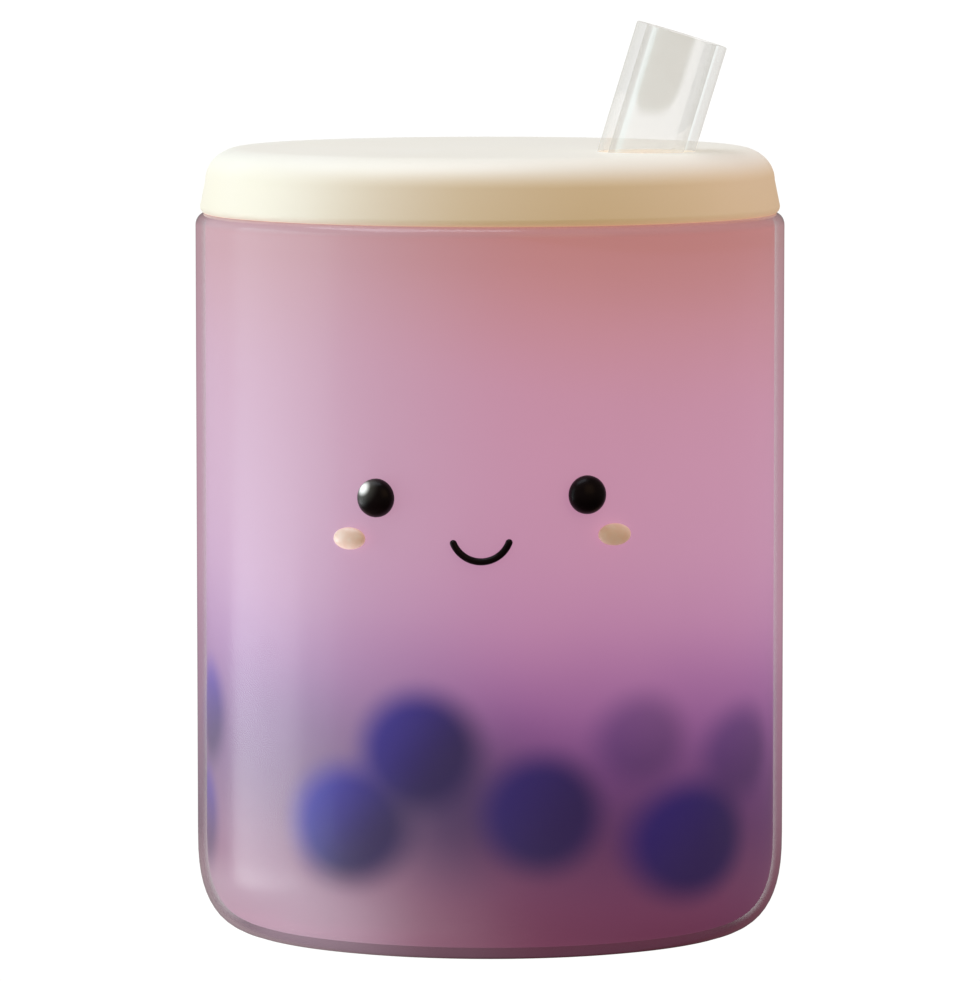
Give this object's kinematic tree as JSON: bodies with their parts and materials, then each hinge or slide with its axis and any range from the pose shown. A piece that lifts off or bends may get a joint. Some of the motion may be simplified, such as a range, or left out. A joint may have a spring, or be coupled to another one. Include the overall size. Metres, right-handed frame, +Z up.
{
  "type": "taro bubble tea",
  "caption": "Taro milk tea with tapioca pearls in a stout frosted cup with a rounded base, a thick cream lid, a wide clear straw and a small smiling face on its front.",
  "frame": {"origin": "middle of the cup's flat underside", "axes": "+Z up through the lid, the face looks along -Y, and the straw leans towards +X"},
  "size_m": [0.084, 0.0848, 0.1304],
  "materials": {
    "cup_plastic": "translucent frosted plastic, smooth outside",
    "tea": null,
    "lid_plastic": "satin cream plastic",
    "straw_plastic": null,
    "face_black": "gloss black",
    "face_cream": "gloss cream"
  },
  "bodies": {
    "root": {"cup": "cup_plastic", "drink": "tea", "lid": "lid_plastic", "straw": "straw_plastic", "eye_left": "face_black", "eye_right": "face_black", "cheek_left": "face_cream", "cheek_right": "face_cream", "smile": "face_black"}
  },
  "joints": []
}
